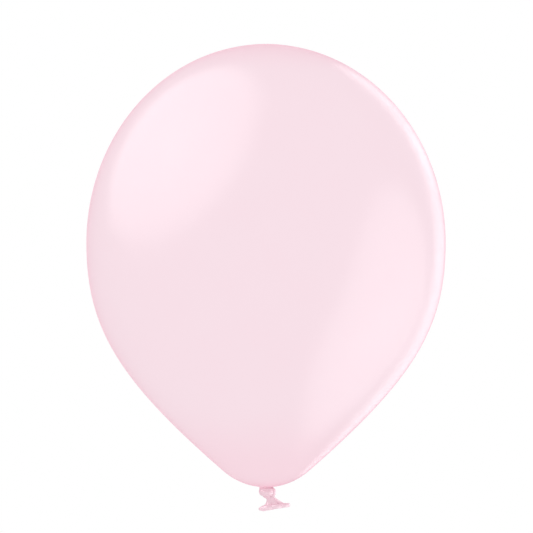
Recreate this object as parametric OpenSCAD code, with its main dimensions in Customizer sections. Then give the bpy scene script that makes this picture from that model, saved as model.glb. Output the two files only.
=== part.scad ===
// Round latex balloon, blown up and tied with an overhand knot in its own neck.
// Millimetres. The origin is on the axis, in the groove between the film and the knot
// where a ribbon is tied. +Z runs up through the crown, and the tail hangs below.
// The tail is widest along X and leans towards +X.

/* [Inflated film] */
// Widest diameter of the inflated film
balloon_d = 300; // [280:2:310]
// Height of the crown above the neck
body_h = 370; // [350:5:390]
// Height of the widest level above the neck
girth_h = 204; // [198:2:212]
// Radius of the blunt end round the neck
nose_r = 54; // [50:1:58]
// Slope of the film where the blunt end turns into the flank, in degrees
flank_angle = 41; // [39:1:43]
// How far the flank keeps that slope
flank_pull = 118; // [108:2:124]
// How far the film stays upright below the widest level
girth_pull = 70; // [60:2:80]

/* [Film thickness] */
// Film over most of the balloon
wall = 0.4; // [0.3:0.05:0.6]
// Film at the crown, where the dipped rubber is thickest
crown_wall = 0.9; // [0.6:0.1:1.2]
// Film round the neck
neck_wall = 0.6; // [0.5:0.1:0.8]

/* [Neck] */
// Diameter of the puckered patch of film that moves with the knot
patch_d = 18; // [17:0.5:20]
// Outside diameter of the groove a ribbon is tied into
groove_d = 8.4; // [8:0.1:9]
// Number of puckers round the neck
puckers = 14; // [8:1:18]

/* [Knot] */
// Width of the knot
knot_w = 13.4; // [12.8:0.1:14]
// Height of the knot
knot_h = 8.4; // [8:0.1:8.8]
// How far the knot sits off the axis, towards the tail's side
knot_off = 1; // [0.6:0.1:1.2]

/* [Tail] */
// Width of the flattened mouth, along X
tail_w = 26.8; // [22:0.2:28]
// Depth of the flattened mouth, front to back
tail_depth = 10.6; // [9:0.2:12]
// Height of the rolled bead at the mouth
bead_h = 3.5; // [3:0.1:4]
// Thickness of the rolled bead through its wall
bead_t = 2.6; // [2:0.1:3]
// Number of pleats in the skirt
pleats = 9; // [5:2:11]
// Film of the skirt
skirt_wall = 0.8; // [0.6:0.1:1]

/* [Hidden] */

pink = [0.97, 0.87, 0.90];
deep_pink = [0.93, 0.78, 0.84];

gap = 0.35;                // running gap at each place where the rubber bends
$fn = 128;

// levels of the knot
film_z = -0.5;             // lower end of the collar in the ribbon groove
knot_top = film_z - gap;
knot_c = [knot_off, 0, knot_top - knot_h / 2];

// the throat of the tail turns about this point
throat_r = 3.3;
throat_side = 2.3;         // off the middle of the knot
throat_drop = 1.8;         // below the bottom of the knot
throat = [knot_off + throat_side, 0, knot_top - knot_h - throat_drop];
seat_gap = 0.3;            // running gap between the round throat and its seat in the knot
seat_r = throat_r + seat_gap;

// the strand of neck that goes through the collar and down the middle of the knot
plug_r = groove_d / 2 - neck_wall - gap;
plug_top = 1;

// ---- curves -------------------------------------------------------------------------

function bezier(a, b, c, d, t) =
    pow(1 - t, 3) * a + 3 * pow(1 - t, 2) * t * b + 3 * (1 - t) * t * t * c + pow(t, 3) * d;

function unit(v) = v / norm(v);

// height of the blunt end at radius r
function nose_z(r) = nose_r - sqrt(nose_r * nose_r - r * r);

// ---- inflated film ------------------------------------------------------------------

girth_r = balloon_d / 2;
slope_gap = 0.05;          // the film slopes here, so the gap is cut a little wider across
open_r = patch_d / 2 + gap + slope_gap;
open_angle = asin(open_r / nose_r);

nose_steps = 10;
flank_steps = 26;
crown_steps = 30;

flank_0 = nose_r * [sin(flank_angle), 1 - cos(flank_angle)];
flank_1 = flank_0 + flank_pull * [cos(flank_angle), sin(flank_angle)];
flank_2 = [girth_r, girth_h - girth_pull];
flank_3 = [girth_r, girth_h];

// outside of the film from the opening round the neck up to the crown
film = concat(
    [for (i = [0 : nose_steps])
        let (a = open_angle + (flank_angle - open_angle) * i / nose_steps)
        nose_r * [sin(a), 1 - cos(a)]],
    [for (i = [1 : flank_steps]) bezier(flank_0, flank_1, flank_2, flank_3, i / flank_steps)],
    [for (i = [1 : crown_steps])
        let (a = 90 * i / crown_steps)
        [girth_r * cos(a), girth_h + (body_h - girth_h) * sin(a)]]);
last = len(film) - 1;

// thickness blends from the plain wall to the crown's and the neck's within these distances
crown_spread = 60;
neck_spread = 45;
function thick(p) =
    p[1] > girth_h
        ? wall + (crown_wall - wall) * pow(max(0, 1 - p[0] / crown_spread), 2)
        : wall + (neck_wall - wall) * pow(max(0, 1 - p[1] / neck_spread), 2);

function inward(i) =
    i == last ? [0, -1] :
    let (d = film[i + 1] - film[max(0, i - 1)]) unit([-d[1], d[0]]);

film_inside = [for (i = [last : -1 : 0]) film[i] + thick(film[i]) * inward(i)];

module envelope()
    color(pink)
        rotate_extrude($fn = 180) polygon(concat(film, film_inside));

// ---- puckered film round the neck ---------------------------------------------------

collar_r = groove_d / 2;
collar_fillet = 0.6;
pucker_r = 0.35;
pucker_inset = 0.5;        // each pucker stops this far short of the collar and of the patch's rim
pucker_tilt = 84;          // from upright, so that it follows the film
patch_steps = 4;
fillet_steps = 6;

// underside of the patch from its rim in to the collar
patch_under = concat(
    [for (i = [0 : patch_steps])
        let (r = patch_d / 2 + (collar_r + collar_fillet - patch_d / 2) * i / patch_steps)
        [r, nose_z(r)]],
    [for (i = [1 : fillet_steps])
        let (a = 90 + 90 * i / fillet_steps, z = nose_z(collar_r + collar_fillet))
        [collar_r + collar_fillet * (1 + cos(a)), z + collar_fillet * (sin(a) - 1)]]);

module neck_gather()
    color(deep_pink) {
        rotate_extrude()
            polygon(concat(patch_under, [
                [collar_r, film_z],
                [collar_r - neck_wall, film_z],
                [collar_r - neck_wall, nose_z(collar_r) + neck_wall],
                [patch_d / 2, nose_z(patch_d / 2) + neck_wall]]));
        for (i = [0 : puckers - 1])
            rotate([0, 0, 360 * i / puckers])
                translate([collar_r + pucker_inset, 0, pucker_r / 2])
                    rotate([0, pucker_tilt, 0])
                        cylinder(
                            h = patch_d / 2 - collar_r - 2 * pucker_inset,
                            r1 = pucker_r, r2 = pucker_r / 3, $fn = 24);
    }

// ---- strands of the knot ------------------------------------------------------------

// closed tube along a list of points. ref is a direction the tube is never parallel to;
// wide is the half-width across it and high the half-width along it, one pair per point
module strand(path, ref, wide, high, around = 20) {
    n = len(path);
    rings = [for (i = [0 : n - 1])
        let (
            run = unit(path[min(i + 1, n - 1)] - path[max(i - 1, 0)]),
            across = unit(cross(run, ref)),
            along = cross(across, run))
        for (j = [0 : around - 1])
            let (a = 360 * j / around)
            path[i] + wide[i] * cos(a) * across + high[i] * sin(a) * along];
    sides = [for (i = [0 : n - 2], j = [0 : around - 1])
        let (k = (j + 1) % around, a = i * around + j, b = i * around + k)
        each [[a, b, a + around], [b, b + around, a + around]]];
    ends = [for (j = [0 : around - 1])
        let (k = (j + 1) % around, m = (n - 1) * around)
        each [[k, j, n * around], [m + j, m + k, n * around + 1]]];
    polyhedron(concat(rings, [path[0], path[n - 1]]), concat(sides, ends), convexity = 6);
}

module throat_seat() translate(throat) sphere(seat_r);

core_inset = 0.2;          // the core stays this far inside the turn round it
core_r = knot_h / 2 - core_inset;

module knot_core()
    color(deep_pink)
        difference() {
            union() {
                translate([0, 0, knot_c[2]]) cylinder(h = plug_top - knot_c[2], r = plug_r);
                translate([0, 0, plug_top]) sphere(plug_r);
                translate(knot_c) sphere(core_r);
            }
            throat_seat();
        }

// one turn of neck round the core, tilted a little, with both ends tucked into the core
loop_from = 60;
loop_turn = 335;
loop_steps = 54;
loop_r = 2.75;             // half-thickness of the strand
loop_ring = knot_w / 2 - loop_r;
loop_high = 3.25;          // half-height of the strand
loop_rise = knot_h / 2 - loop_high;
loop_end = 0.16;           // share of the turn in which each end dives into the core
end_ring = 0.45;           // ring radius, thickness and height at the very ends, as shares
end_thick = 0.6;
end_high = 0.5;

function dive(t) = min(1, min(t, 1 - t) / loop_end);
function swell(least, x) = least + (1 - least) * x;

module knot_loop() {
    ts = [for (i = [0 : loop_steps]) i / loop_steps];
    color(deep_pink)
        difference() {
            strand(
                [for (t = ts)
                    let (a = loop_from + loop_turn * t, r = loop_ring * swell(end_ring, sin(90 * dive(t))))
                    knot_c + [r * cos(a), r * sin(a), loop_rise * (1 - 2 * t)]],
                [0, 0, 1],
                [for (t = ts) loop_r * swell(end_thick, dive(t))],
                [for (t = ts) loop_high * swell(end_high, dive(t))],
                24);
            throat_seat();
        }
}

// the end of the neck, passed over the loop on the +X side and down to the tail
tuck_r = 1.7;
tuck_steps = 22;
tuck_inset = 0.4;          // of its upper end below the top of the knot
tuck_rise = 2.1;           // of its lower end above the bottom of the knot

module knot_tuck() {
    ts = [for (i = [0 : tuck_steps]) i / tuck_steps];
    top_z = knot_top - tuck_r - tuck_inset;
    low_z = knot_top - knot_h + tuck_rise;
    color(deep_pink)
        difference() {
            strand(
                [for (t = ts) bezier(
                    [knot_off + 0.2, -1.6, top_z],
                    [knot_off + 6.2, -2.4, top_z + 0.3],
                    [knot_off + 6.4, -1.8, low_z + 0.8],
                    [knot_off + 2.6, -0.2, low_z + 0.1], t)],
                [0, 1, 0],
                [for (t = ts) tuck_r],
                [for (t = ts) tuck_r]);
            throat_seat();
        }
}

// ---- tail ---------------------------------------------------------------------------

// centre line of the bead at its two ends, and how far the mouth leans
mouth_w = tail_w - bead_t;
mouth_side = 3.5;          // the mouth's middle is this far along +X from the throat
low_drop = 7.4;            // the low end of the mouth is this far below the throat
high_drop = 4.0;           // and the high end this far
mouth_left = throat + [mouth_side - mouth_w / 2, 0, -low_drop];
mouth_right = throat + [mouth_side + mouth_w / 2, 0, -high_drop];
mouth_b = (tail_depth - bead_t) / 2;

throat_tilt = 17;          // slope of the ring of the throat, higher on the +X side
throat_half = throat_r * [cos(throat_tilt), 0, sin(throat_tilt)];

// the skirt's left and right edges, from the throat (0) to the mouth (1)
function left_edge(u) = bezier(
    throat - throat_half, throat + [-2.9, 0, -3.4], throat + [-4.9, 0, -4.2], mouth_left, u);
function right_edge(u) = bezier(
    throat + throat_half, throat + [7.2, 0, 1.2], throat + [10.2, 0, -1.6], mouth_right, u);

// half-depth of the skirt: a flattened waist between the round throat and the mouth
waist_pinch = 0.35;
waist_fill = 1.2;
function skirt_b(u) =
    throat_r * (1 - u) * (1 - waist_pinch * u) + mouth_b * u * u + waist_fill * u * (1 - u);

pleat_depth = 0.16;
skirt_around = 72;
skirt_steps = 14;
dome_steps = 6;
hollow_from = 0.4;         // the mouth's hollow ends here; above it the film is squeezed shut

// one ring of the skirt, drawn in by the wall for its inside
function skirt_ring(u, inset) =
    let (
        mid = (left_edge(u) + right_edge(u)) / 2,
        half = (right_edge(u) - left_edge(u)) / 2,
        b = skirt_b(u) - inset)
    [for (j = [0 : skirt_around - 1])
        let (a = 360 * j / skirt_around)
        mid + half * (1 - inset / norm(half)) * cos(a)
            + [0, b * sin(a) * (1 + pleat_depth * u * cos(pleats * a)), 0]];

// rings of the round head that turns in the knot's seat
function dome_ring(v) =
    let (up = [-sin(throat_tilt), 0, cos(throat_tilt)])
    [for (j = [0 : skirt_around - 1])
        let (a = 360 * j / skirt_around)
        throat + throat_r * sin(v) * up
            + cos(v) * (throat_half * cos(a) + [0, throat_r * sin(a), 0])];

module tail_skirt() {
    n = skirt_around;
    rings = concat(
        [for (i = [1 : dome_steps]) dome_ring(90 - 90 * i / dome_steps)],
        [for (i = [1 : skirt_steps]) skirt_ring(i / skirt_steps, 0)],
        [for (i = [0 : skirt_steps - 2])
            skirt_ring(1 - (1 - hollow_from) * i / (skirt_steps - 1), skirt_wall)]);
    m = len(rings);
    apex = (left_edge(hollow_from) + right_edge(hollow_from)) / 2;
    crest = throat + throat_r * [-sin(throat_tilt), 0, cos(throat_tilt)];
    color(deep_pink)
        polyhedron(
            concat([for (r = rings) each r], [crest, apex]),
            concat(
                [for (i = [0 : m - 2], j = [0 : n - 1])
                    let (k = (j + 1) % n, a = i * n + j, b = i * n + k)
                    each [[a, b, a + n], [b, b + n, a + n]]],
                [for (j = [0 : n - 1])
                    let (k = (j + 1) % n, e = (m - 1) * n)
                    each [[k, j, m * n], [e + j, e + k, m * n + 1]]]),
            convexity = 8);
}

// rolled bead round the flattened mouth
bead_around = 18;
bead_steps = 96;

module rolled_lip() {
    mid = (mouth_left + mouth_right) / 2;
    half = (mouth_right - mouth_left) / 2;
    rings = [for (i = [0 : bead_steps - 1])
        let (
            a = 360 * i / bead_steps,
            c = mid + half * cos(a) + [0, mouth_b * sin(a) * (1 + pleat_depth * cos(pleats * a)), 0],
            out = unit([mouth_b * cos(a), norm(half) * sin(a), 0]))
        for (j = [0 : bead_around - 1])
            let (v = 360 * j / bead_around)
            c + bead_t / 2 * cos(v) * out + [0, 0, bead_h / 2 * sin(v)]];
    total = bead_steps * bead_around;
    color(deep_pink)
        polyhedron(
            rings,
            [for (i = [0 : bead_steps - 1], j = [0 : bead_around - 1])
                let (
                    k = (j + 1) % bead_around,
                    a = i * bead_around + j,
                    b = i * bead_around + k,
                    c = (a + bead_around) % total,
                    d = (b + bead_around) % total)
                each [[a, b, c], [b, d, c]]],
            convexity = 8);
}

envelope();
neck_gather();
knot_core();
knot_loop();
knot_tuck();
tail_skirt();
rolled_lip();
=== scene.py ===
"""Looks of a round latex balloon, blown up and tied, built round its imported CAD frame.

Metres, +Z up. The origin is on the axis, in the groove between the film and the knot.
"""

import math

import bpy
import numpy as np
from mathutils import Matrix, Vector


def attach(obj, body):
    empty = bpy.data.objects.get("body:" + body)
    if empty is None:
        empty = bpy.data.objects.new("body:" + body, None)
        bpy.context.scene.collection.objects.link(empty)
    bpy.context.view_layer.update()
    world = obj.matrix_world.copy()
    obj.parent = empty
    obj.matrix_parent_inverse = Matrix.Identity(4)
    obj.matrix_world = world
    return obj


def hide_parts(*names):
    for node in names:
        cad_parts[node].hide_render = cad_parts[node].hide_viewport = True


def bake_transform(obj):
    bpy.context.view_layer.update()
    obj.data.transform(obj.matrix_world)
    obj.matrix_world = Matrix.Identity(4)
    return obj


MM = 0.001

# ---- camera: level, far off, a long lens, as for a product shot ------------------------

CAM_DISTANCE = 3.6
SHOT_WIDTH = 0.4454  # what the frame spans at the balloon's axis
SHOT_LEVEL = 0.1843
SHOT_ACROSS = 0.0004
SENSOR_MM = 36.0

scene = bpy.context.scene
camera = bpy.data.objects.new("camera", bpy.data.cameras.new("camera"))
scene.collection.objects.link(camera)
camera.location = (SHOT_ACROSS, -CAM_DISTANCE, SHOT_LEVEL)
camera.rotation_euler = (math.pi / 2, 0, 0)
camera.data.sensor_width = SENSOR_MM
camera.data.lens = SENSOR_MM * CAM_DISTANCE / SHOT_WIDTH
camera.data.clip_end = 50
scene.camera = camera

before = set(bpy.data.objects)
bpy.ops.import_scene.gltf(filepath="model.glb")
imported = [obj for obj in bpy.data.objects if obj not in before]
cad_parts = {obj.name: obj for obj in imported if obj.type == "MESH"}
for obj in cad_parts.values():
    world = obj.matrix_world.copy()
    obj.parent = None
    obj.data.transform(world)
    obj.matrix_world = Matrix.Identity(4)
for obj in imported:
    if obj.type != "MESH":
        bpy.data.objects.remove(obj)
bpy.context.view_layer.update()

# ---- film, as the CAD has it -----------------------------------------------------------

GIRTH_R = 150 * MM
BODY_H = 370 * MM
GIRTH_H = 204 * MM
NOSE_R = 54 * MM
FLANK_ANGLE = math.radians(41)
FLANK_PULL = 118 * MM
GIRTH_PULL = 70 * MM
FILM_WALL = 0.4 * MM

# The film laps down from LAP_R into the knot, where the gathered neck goes on inwards. Points
# are (radius, height).
LAP_R = 6.6 * MM
LAP_END = (5.0 * MM, -1.2 * MM)
COLLAR_END = (2.7 * MM, -3.8 * MM)
NECK_WALL = 0.5 * MM

PUCKERS = 14
PUCKER_REACH = 30 * MM  # where the puckers start to show
PUCKER_FULL_R = 4.5 * MM
PUCKER_DEEP = 0.13 * MM
PUCKER_FINE = 0.05 * MM
AROUND = PUCKERS * 16


# ---- mesh helpers ----------------------------------------------------------------------


def smoothstep(a, b, x):
    t = np.clip((np.asarray(x, float) - a) / (b - a), 0, 1)
    return t * t * (3 - 2 * t)


def bezier(p, t):
    """Points at t on the cubic curve of the four control points p."""
    t = np.asarray(t, float)[:, None]
    a, b, c, d = (np.asarray(q, float) for q in p)
    return (1 - t) ** 3 * a + 3 * (1 - t) ** 2 * t * b + 3 * (1 - t) * t * t * c + t**3 * d


SHARP_EDGE = math.radians(55)


def make_object(name, verts, faces):
    mesh = bpy.data.meshes.new(name)
    mesh.from_pydata([tuple(map(float, v)) for v in verts], [], [tuple(f) for f in faces])
    mesh.validate()
    mesh.shade_smooth()
    mesh.set_sharp_from_angle(angle=SHARP_EDGE)
    obj = bpy.data.objects.new(name, mesh)
    scene.collection.objects.link(obj)
    return obj


def grid_faces(rows, cols, close_rows=False, start=0):
    """Quads over rows of cols points, each row a closed ring. close_rows joins last to first."""
    faces = []
    for i in range(rows if close_rows else rows - 1):
        a, b = start + i * cols, start + ((i + 1) % rows) * cols
        for j in range(cols):
            k = (j + 1) % cols
            faces.append((a + j, a + k, b + k, b + j))
    return faces


def add_crease(obj, values):
    """Store how deep in a fold each point lies, 0 on a ridge and 1 in a valley, for painted shade."""
    layer = obj.data.attributes.new("crease_shade", "FLOAT", "POINT")
    layer.data.foreach_set("value", np.clip(values, 0, 1).astype(np.float32))


def tube(name, path, wide, high, around, ref, groove, grooves, phase=0.0):
    """A tube swept along path, with grooves down its length. ref is a direction the path never
    takes; wide and high are the half-widths across it and along it, one pair per point."""
    path = np.asarray(path, float)
    n = len(path)
    run = np.gradient(path, axis=0)
    run /= np.linalg.norm(run, axis=1)[:, None]
    across = np.cross(run, ref)
    across /= np.linalg.norm(across, axis=1)[:, None]
    along = np.cross(across, run)
    a = np.linspace(0, 2 * np.pi, around, endpoint=False)
    t = np.linspace(0, 1, n)[:, None]
    fold = 1 + groove * (
        np.cos(grooves * a + phase + 2.0 * t) + 0.5 * np.cos((grooves + 4) * a - 3.0 * t + 1.3)
    )
    rings = (
        path[:, None, :]
        + (np.asarray(wide)[:, None] * np.cos(a) * fold)[..., None] * across[:, None, :]
        + (np.asarray(high)[:, None] * np.sin(a) * fold)[..., None] * along[:, None, :]
    )
    verts = np.vstack([rings.reshape(-1, 3), path[0], path[-1]])
    faces = grid_faces(n, around)
    last = (n - 1) * around
    for j in range(around):
        k = (j + 1) % around
        faces.append((k, j, n * around))
        faces.append((last + j, last + k, n * around + 1))
    obj = make_object(name, verts, faces)
    depth = np.broadcast_to((1 - (fold - 1) / groove) / 2, (n, around)).ravel()
    add_crease(obj, np.append(depth, [1, 1]))
    return obj


# ---- inflated film ---------------------------------------------------------------------


def nose_z(r):
    return NOSE_R - np.sqrt(NOSE_R**2 - np.asarray(r, float) ** 2)


def film_profile():
    """Outside of the film as (radius, height), from where it laps over the knot to the crown."""
    lap_rows, nose_rows, flank_rows, crown_rows = 15, 64, 84, 84
    lap = bezier(
        [
            LAP_END,
            (5.5 * MM, 0),
            (LAP_R - 0.8 * MM, nose_z(LAP_R) - 0.12 * MM),
            (LAP_R, nose_z(LAP_R)),
        ],
        np.linspace(0, 1, lap_rows + 1)[:-1],
    )
    a = np.linspace(math.asin(LAP_R / NOSE_R), FLANK_ANGLE, nose_rows)
    nose = NOSE_R * np.stack([np.sin(a), 1 - np.cos(a)], 1)
    slope = np.array([math.cos(FLANK_ANGLE), math.sin(FLANK_ANGLE)])
    flank = bezier(
        [
            nose[-1],
            nose[-1] + FLANK_PULL * slope,
            (GIRTH_R, GIRTH_H - GIRTH_PULL),
            (GIRTH_R, GIRTH_H),
        ],
        np.linspace(0, 1, flank_rows + 1)[1:],
    )
    b = np.linspace(0, math.pi / 2, crown_rows + 1)[1:-1]
    crown = np.stack([GIRTH_R * np.cos(b), GIRTH_H + (BODY_H - GIRTH_H) * np.sin(b)], 1)
    return np.vstack([lap, nose, flank, crown])


def pucker_height(r, angle):
    """How far the film stands out in the folds that run in to the neck."""
    fade = smoothstep(PUCKER_REACH, PUCKER_FULL_R, r)
    wave = np.cos(PUCKERS * angle + 0.8 * np.sin(3 * angle + 0.7))
    fine = np.cos(2 * PUCKERS * angle + 1.1 + 1.6 * np.sin(2 * angle))
    return fade**2 * (PUCKER_DEEP * wave + PUCKER_FINE * fine)


def ring(r, z, angle):
    return np.stack([r * np.cos(angle), r * np.sin(angle), z * np.ones_like(angle)], 1)


def build_film():
    outline = film_profile()
    angle = np.linspace(0, 2 * np.pi, AROUND, endpoint=False)
    tangent = np.gradient(outline, axis=0)
    tangent /= np.linalg.norm(tangent, axis=1)[:, None]
    normal = np.stack([tangent[:, 1], -tangent[:, 0]], 1)
    verts = []
    for (r, z), (nr, nz) in zip(outline, normal):
        out = pucker_height(r, angle)
        verts.append(ring(r + nr * out, z + nz * out, angle))
    verts += [ring(r, z, angle) for r, z in outline - FILM_WALL * normal]
    rows = len(outline)
    faces = grid_faces(rows, AROUND)
    faces += [f[::-1] for f in grid_faces(rows, AROUND, start=rows * AROUND)]
    low_in = rows * AROUND
    for j in range(AROUND):
        k = (j + 1) % AROUND
        faces.append((j, low_in + j, low_in + k, k))
    top, top_in = 2 * rows * AROUND, 2 * rows * AROUND + 1
    verts = np.vstack([*verts, [[0, 0, BODY_H]], [[0, 0, BODY_H - FILM_WALL]]])
    last, last_in = (rows - 1) * AROUND, (2 * rows - 1) * AROUND
    for j in range(AROUND):
        k = (j + 1) % AROUND
        faces.append((last + j, last + k, top))
        faces.append((last_in + k, last_in + j, top_in))
    return make_object("film", verts, faces)


# ---- gathered neck, from under the film's lap down into the knot -----------------------


def build_neck():
    rows = 14
    profile = np.linspace(LAP_END, COLLAR_END, rows)
    tangent = np.gradient(profile, axis=0)
    tangent /= np.linalg.norm(tangent, axis=1)[:, None]
    normal = np.stack([-tangent[:, 1], tangent[:, 0]], 1)
    angle = np.linspace(0, 2 * np.pi, AROUND, endpoint=False)
    verts = []
    for shift in (0, NECK_WALL):
        for (r, z), (nr, nz) in zip(profile, normal):
            out = pucker_height(r, angle) - shift
            verts.append(ring(r + nr * out, z + nz * out, angle))
    faces = [f[::-1] for f in grid_faces(rows, AROUND)]
    faces += grid_faces(rows, AROUND, start=rows * AROUND)
    for row in (0, rows - 1):
        a, b = row * AROUND, (rows + row) * AROUND
        for j in range(AROUND):
            k = (j + 1) % AROUND
            quad = (a + j, a + k, b + k, b + j)
            faces.append(quad if row == 0 else quad[::-1])
    return make_object("neck_gathers", np.vstack(verts), faces)


# ---- knot ------------------------------------------------------------------------------

KNOT_MID = np.array([1.0, 0, -3.55]) * MM
LOOP_THICK = 2.9 * MM  # half-thickness of the strand
LOOP_TALL = 3.85 * MM  # half its height
LOOP_RING = 4.1 * MM
LOOP_FROM, LOOP_TURN = 60, 335  # degrees
LOOP_RISE = 0.5 * MM
LOOP_DIVE = 0.16  # share of the turn in which each end dives into the core


def build_core():
    """The squeezed neck down the middle of the knot, fullest where it shows under the loop."""
    t = np.linspace(0, 1, 60)
    path = bezier(np.array([(0, 0, -1.5), (0.2, 0, -3.8), (1.9, 0, -5.6), (3.2, 0, -9.6)]) * MM, t)
    belly = np.exp(-(((t - 0.62) / 0.24) ** 2))
    half = (3.0 + 1.7 * belly - 0.9 * smoothstep(0.8, 1, t)) * MM
    return tube("knot_core_strand", path, half, half, 120, (0, 1, 0), 0.02, 9)


def build_loop():
    """The turn of neck round the core, with both ends tucked in."""
    t = np.linspace(0, 1, 170)
    dive = np.clip(np.minimum(t, 1 - t) / LOOP_DIVE, 0, 1)
    a = np.radians(LOOP_FROM + LOOP_TURN * t)
    r = LOOP_RING * (0.45 + 0.55 * np.sin(np.pi / 2 * dive))
    path = KNOT_MID + np.stack([r * np.cos(a), r * np.sin(a), LOOP_RISE * (1 - 2 * t)], 1)
    wide = LOOP_THICK * (0.6 + 0.4 * dive)
    high = LOOP_TALL * (0.5 + 0.5 * dive)
    return tube("knot_loop_strand", path, wide, high, 120, (0, 0, 1), 0.014, 8, 0.6)


def build_tuck():
    """The end of the neck, over the loop on the +X side and down to the tail."""
    t = np.linspace(0, 1, 90)
    points = [(3.8, -1.8, -1.2), (7.7, -3.6, -0.9), (7.6, -3.5, -6.9), (4.2, -1.1, -9.0)]
    path = bezier(np.array(points) * MM, t)
    wide = (1.2 + 0.3 * np.sin(np.pi * t)) * MM
    high = (1.5 + 0.4 * np.sin(np.pi * t)) * MM
    return tube("knot_tuck_strand", path, wide, high, 84, (0, 1, 0), 0.025, 6, 1.1)


# ---- tail ------------------------------------------------------------------------------

# The skirt's left and right edges, from the throat to the mouth, in millimetres.
LEFT_EDGE = [(0.2, 0, -8.6), (1.3, 0, -13.2), (-0.9, 0, -14.6), (-5.0, 0, -18.3)]
RIGHT_EDGE = [(6.3, 0, -7.9), (8.6, 0, -9.2), (11.6, 0, -12.4), (18.9, 0, -15.05)]
MOUTH_LEFT, MOUTH_RIGHT = (np.array(edge[-1]) * MM for edge in (LEFT_EDGE, RIGHT_EDGE))
THROAT_B = 3.1 * MM  # half-depths, front to back
MOUTH_B = 4.0 * MM
WAIST = 0.6 * MM
SKIRT_WALL = 0.8 * MM
HOLLOW_FROM = 0.36  # the mouth's hollow ends this far down the skirt
HEAD_RISE = 2.4 * MM  # how far the skirt's closed top goes up into the knot
HEAD_TAPER = 0.12
PLEATS = 9
PLEAT_DEEP = 0.16  # of the skirt's half-depth
TAIL_AROUND = 360


def skirt_rings(us, inset):
    """Rings of the skirt at us, 0 at the throat and 1 at the mouth, drawn in by inset."""
    left, right = (bezier(np.array(edge) * MM, us) for edge in (LEFT_EDGE, RIGHT_EDGE))
    a = np.linspace(0, 2 * np.pi, TAIL_AROUND, endpoint=False)
    rings, creases = [], []
    for u, le, ri in zip(us, left, right):
        mid, half = (le + ri) / 2, (ri - le) / 2
        b = THROAT_B * (1 - u) + MOUTH_B * u - WAIST * u * (1 - u)
        pleat = (
            PLEAT_DEEP * u * np.cos(PLEATS * a)
            + 0.12 * (u * (1.15 - u)) * np.cos((2 * PLEATS + 3) * a + 0.9)
            + 0.05 * (1 - u) * np.cos(11 * a + 0.4)
        )
        scale = 1 - inset / np.linalg.norm(half)
        points = mid + np.outer(scale * np.cos(a), half)
        points[:, 1] += (b - inset) * np.sin(a) * (1 + pleat)
        rings.append(points)
        creases.append(0.5 - 2.5 * pleat)
    return rings, creases


def build_skirt():
    first = skirt_rings([0.0], 0)[0][0]
    into_knot = [
        first.mean(0) + (first - first.mean(0)) * (1 - HEAD_TAPER * k) + (0, 0, HEAD_RISE * k)
        for k in np.linspace(1, 0, 9)[:-1]
    ]
    outer, outer_crease = skirt_rings(np.linspace(0, 1, 60), 0)
    inner, inner_crease = skirt_rings(np.linspace(1, HOLLOW_FROM, 40), SKIRT_WALL)
    rings = into_knot + outer + inner
    rows = len(rings)
    verts = np.vstack([*rings, rings[0].mean(0)[None], rings[-1].mean(0)[None]])
    faces = [f[::-1] for f in grid_faces(rows, TAIL_AROUND)]
    top, apex, last = rows * TAIL_AROUND, rows * TAIL_AROUND + 1, (rows - 1) * TAIL_AROUND
    for j in range(TAIL_AROUND):
        k = (j + 1) % TAIL_AROUND
        faces.append((j, k, top))
        faces.append((last + k, last + j, apex))
    obj = make_object("tail_pleats", verts, faces)
    creases = [np.ones(TAIL_AROUND)] * len(into_knot) + outer_crease + inner_crease + [[1, 1]]
    add_crease(obj, np.concatenate(creases))
    return obj


def build_lip():
    """The rolled bead: fuller and lower towards the left, where the roll hangs down."""
    steps, around = 480, 48
    mid, half = (MOUTH_LEFT + MOUTH_RIGHT) / 2, (MOUTH_RIGHT - MOUTH_LEFT) / 2
    a = np.linspace(0, 2 * np.pi, steps, endpoint=False)
    v = np.linspace(0, 2 * np.pi, around, endpoint=False)
    f = (1 + np.cos(a)) / 2  # 0 at the low left end, 1 at the right
    c = mid + np.outer(np.cos(a), half)
    c[:, 1] += MOUTH_B * np.sin(a) * (1 + PLEAT_DEEP * np.cos(PLEATS * a))
    c[:, 2] += MM * (0.35 * np.sin(np.pi * f) + 0.15 * np.cos(PLEATS * a + 0.5) * np.sin(a) ** 2)
    tall = MM * (1.35 + 1.1 * smoothstep(0, 0.12, f) - 0.9 * f)
    deep = MM * (1.25 + 0.15 * smoothstep(0, 0.12, f) - 0.1 * f)
    run = np.roll(c, -1, 0) - np.roll(c, 1, 0)
    run /= np.linalg.norm(run, axis=1)[:, None]
    out = np.cross(run, (0, 0, 1))
    out /= np.linalg.norm(out, axis=1)[:, None]
    up = np.cross(out, run)
    sway = 0.5 * np.sin(3 * a + 0.4) + 0.3 * np.sin(11 * a)
    groove = np.cos(6 * v[None, :] + 0.8 + sway[:, None])
    roll = 1 + 0.035 * groove + 0.02 * np.cos(23 * a + 1.0 + np.sin(5 * a))[:, None]
    verts = (
        c[:, None, :]
        + (deep[:, None] * np.cos(v) * roll)[..., None] * out[:, None, :]
        + (tall[:, None] * np.sin(v) * roll)[..., None] * up[:, None, :]
    ).reshape(-1, 3)
    obj = make_object("lip_bead", verts, grid_faces(steps, around, close_rows=True))
    add_crease(obj, (0.5 - 0.4 * groove).ravel())
    return obj


# ---- materials -------------------------------------------------------------------------


def srgb(*rgb):
    return [((c / 255 + 0.055) / 1.055) ** 2.4 if c > 10 else c / 255 / 12.92 for c in rgb] + [1]


def node(tree, kind, **inputs):
    n = tree.nodes.new(kind)
    for key, value in inputs.items():
        n.inputs[key.replace("_", " ")].default_value = value
    return n


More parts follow.
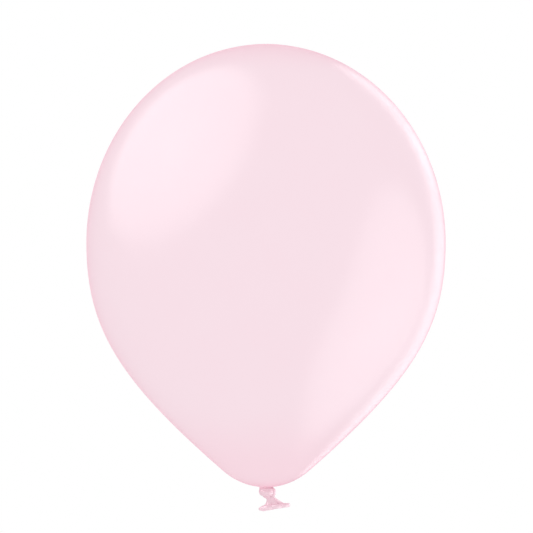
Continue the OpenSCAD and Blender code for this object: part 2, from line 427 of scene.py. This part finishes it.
FILM_LOOK = {
    "drift_scale": 28.0,
    "drift_most": 0.03,
    "speck_scale": 900.0,
    "bump": 0.05,
    "coat": 0.16,
    "coat_rough": 0.22,
}
FOLDED_LOOK = {
    "drift_scale": 420.0,
    "drift_most": 0.25,
    "speck_scale": 2600.0,
    "bump": 0.25,
    "coat": 0.45,
    "coat_rough": 0.28,
}
# The film's colour deepens in three zones, partly for thicker rubber there and partly as painted
# shade. Each row is a height where that starts, the height where it is full, and how much it
# adds: towards the neck, at the very neck, and at the crown.
THICK_AND_SHADE_ZONES = ((72 * MM, 12 * MM, 0.25), (9 * MM, 0, 0.25), (342 * MM, 370 * MM, 0.22))
CREASE_SHADE_GAIN = 0.45
BUMP_HEIGHT = 0.2 * MM


def latex(name, colour, deep, rough, look, film=False):
    """Dyed latex: colour with a slow drift towards the deeper tone, satin, finely wrinkled. Folded
    rubber gets painted shade in its folds; the film deepens by height, partly painted shade.
    """
    mat = bpy.data.materials.new(name)
    mat.use_nodes = True
    tree = mat.node_tree
    tree.nodes.clear()
    link = tree.links.new
    shader = tree.nodes.new("ShaderNodeBsdfPrincipled")
    out = tree.nodes.new("ShaderNodeOutputMaterial")
    link(shader.outputs["BSDF"], out.inputs["Surface"])
    coords = tree.nodes.new("ShaderNodeTexCoord")

    drift = node(tree, "ShaderNodeTexNoise", Scale=look["drift_scale"], Detail=3.0)
    link(coords.outputs["Object"], drift.inputs["Vector"])
    speck = node(tree, "ShaderNodeTexNoise", Scale=look["speck_scale"], Detail=2.0)
    link(coords.outputs["Object"], speck.inputs["Vector"])

    amount = node(tree, "ShaderNodeMapRange", From_Min=0.35, From_Max=0.75, To_Max=look["drift_most"])
    link(drift.outputs["Fac"], amount.inputs["Value"])
    total = amount.outputs["Result"]
    # on the film: a deeper colour by height, partly thicker rubber and partly painted shade
    if film:
        split = tree.nodes.new("ShaderNodeSeparateXYZ")
        link(coords.outputs["Object"], split.inputs["Vector"])
        for start, full, most in THICK_AND_SHADE_ZONES:
            ramp = node(tree, "ShaderNodeMapRange", From_Min=start, From_Max=full, To_Max=most)
            ramp.interpolation_type = "SMOOTHSTEP"
            link(split.outputs["Z"], ramp.inputs["Value"])
            plus = tree.nodes.new("ShaderNodeMath")
            plus.operation = "ADD"
            link(total, plus.inputs[0])
            link(ramp.outputs["Result"], plus.inputs[1])
            total = plus.outputs["Value"]
    else:
        # folded rubber: painted shade, a deeper pink in the valleys of the folds and paler on the ridges
        crease_shade = tree.nodes.new("ShaderNodeAttribute")
        crease_shade.attribute_name = "crease_shade"
        gain = tree.nodes.new("ShaderNodeMath")
        gain.operation = "MULTIPLY_ADD"
        gain.inputs[1].default_value = CREASE_SHADE_GAIN
        link(crease_shade.outputs["Fac"], gain.inputs[0])
        link(total, gain.inputs[2])
        total = gain.outputs["Value"]
    mix = tree.nodes.new("ShaderNodeMix")
    mix.data_type = "RGBA"
    mix.inputs["A"].default_value = colour
    mix.inputs["B"].default_value = deep
    link(total, mix.inputs["Factor"])
    link(mix.outputs["Result"], shader.inputs["Base Color"])

    gloss = node(tree, "ShaderNodeMapRange", To_Min=rough - 0.04, To_Max=rough + 0.04)
    link(speck.outputs["Fac"], gloss.inputs["Value"])
    link(gloss.outputs["Result"], shader.inputs["Roughness"])

    bump = node(tree, "ShaderNodeBump", Strength=look["bump"], Distance=BUMP_HEIGHT)
    link(speck.outputs["Fac"], bump.inputs["Height"])
    link(bump.outputs["Normal"], shader.inputs["Normal"])

    # the coat alone mirrors the lamps, and the sheen gives the deeper pink where the film turns away
    shader.inputs["Specular IOR Level"].default_value = 0.0
    shader.inputs["Coat Weight"].default_value = look["coat"]
    shader.inputs["Coat Roughness"].default_value = look["coat_rough"]
    shader.inputs["Coat IOR"].default_value = 1.5
    shader.inputs["Sheen Weight"].default_value = 0.7
    shader.inputs["Sheen Roughness"].default_value = 0.25
    shader.inputs["Sheen Tint"].default_value = (1.0, 0.5, 0.63, 1)
    return mat


film_mat = latex(
    "latex_film", srgb(249, 226, 234), srgb(251, 198, 214), 0.36, FILM_LOOK, film=True
)
neck_mat = latex("latex_neck", srgb(246, 219, 228), srgb(236, 196, 210), 0.34, FOLDED_LOOK)
lip_mat = latex("latex_lip", srgb(247, 221, 230), srgb(238, 198, 212), 0.34, FOLDED_LOOK)

# ---- pieces ----------------------------------------------------------------------------

film = build_film()
film.data.materials.append(film_mat)
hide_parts("envelope")
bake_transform(film)

neck = build_neck()
neck.data.materials.append(film_mat)
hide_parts("neck_gather")
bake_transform(neck)

for build, cad_node in ((build_core, "knot_core"), (build_loop, "knot_loop"), (build_tuck, "knot_tuck")):
    piece = build()
    piece.data.materials.append(neck_mat)
    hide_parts(cad_node)
    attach(piece, "knot")

skirt = build_skirt()
skirt.data.materials.append(neck_mat)
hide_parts("tail_skirt")
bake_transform(skirt)

lip = build_lip()
lip.data.materials.append(lip_mat)
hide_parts("rolled_lip")
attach(lip, "tail")

# ---- studio ----------------------------------------------------------------------------

FLOOR_Z = -0.80
FLOOR_R = 4.0
FLOOR_SIDES = 96
FLOOR_COLOUR = (0.985, 0.985, 0.985, 1)

turns = np.linspace(0, 2 * np.pi, FLOOR_SIDES, endpoint=False)
floor = make_object(
    "floor",
    [(FLOOR_R * math.cos(a), FLOOR_R * math.sin(a), FLOOR_Z) for a in turns],
    [tuple(range(FLOOR_SIDES))],
)
floor_mat = bpy.data.materials.new("pale_floor")
floor_mat.use_nodes = True
floor_shader = floor_mat.node_tree.nodes["Principled BSDF"]
floor_shader.inputs["Base Color"].default_value = FLOOR_COLOUR
floor_shader.inputs["Roughness"].default_value = 0.9
floor_shader.inputs["Specular IOR Level"].default_value = 0.0
floor.data.materials.append(floor_mat)
floor.visible_glossy = False

world = bpy.data.worlds.new("studio")
scene.world = world
world.use_nodes = True
world.node_tree.nodes["Background"].inputs["Color"].default_value = (1, 1, 1, 1)
world.node_tree.nodes["Background"].inputs["Strength"].default_value = 1.0
world.cycles_visibility.glossy = False

# The white surround lights the rubber evenly, and the lamps show only in its gloss. There are a
# key light up on the left, a side light low on the right, and a tall rim light behind the right
# edge, all white.
TARGET = Vector((0, 0, 0.2))
SOFT_STEPS = 4


def panel(name, facing, distance, centre, half_size, radiance, roll):
    """An elliptical area light on the plane at that distance from the balloon, in the direction
    facing. centre and half_size are (across, up) on the plane, as fractions of the distance, and
    roll turns the light in the plane, in degrees."""
    out = Vector(facing).normalized()
    across = Vector((0, 0, 1)).cross(out).normalized()
    top = out.cross(across)
    light = bpy.data.lights.new(name, "AREA")
    light.shape = "ELLIPSE"
    light.size, light.size_y = (2 * h * distance for h in half_size)
    light.energy = radiance * math.pi * light.size * light.size_y * math.pi / 4
    obj = bpy.data.objects.new(name, light)
    scene.collection.objects.link(obj)
    place = out + centre[0] * across + centre[1] * top
    axes = Matrix((across, top, out)).transposed().to_4x4()
    turn = axes @ Matrix.Rotation(math.radians(roll), 4, "Z")
    obj.matrix_world = Matrix.Translation(TARGET + distance * place) @ turn
    obj.visible_diffuse = False
    obj.visible_camera = False


def softbox(name, facing, distance, centre, half_size, radiance, roll=0):
    """A lamp that fades towards its edge: panels one inside the other, of one radiance each."""
    for step in range(1, SOFT_STEPS + 1):
        half = [h * step / SOFT_STEPS for h in half_size]
        panel(f"{name}_{step}", facing, distance, centre, half, radiance, roll)


softbox("key", (-1, 0, 1), 1.3, (0.2, -0.05), (1.1, 0.95), 5.5)
softbox("side", (0.9, 0.1, -0.35), 0.75, (-0.25, -0.15), (0.7, 1.1), 4.5, roll=8)
# The rim light is bent to follow the balloon's edge: three softboxes end to end, the outer two
# set in by RIM_BOW and turned by RIM_TURN.
RIM_ACROSS = -0.1
RIM_BOW = 0.12
RIM_PITCH = 0.35
RIM_TURN = 24
for part in (-1, 0, 1):
    centre = (RIM_ACROSS + RIM_BOW * abs(part), RIM_PITCH * part)
    softbox(f"rim_{part + 1}", (1, 1.7, 0), 1.5, centre, (0.2, 0.4), 4.5, roll=-RIM_TURN * part)

scene.view_settings.view_transform = "Standard"
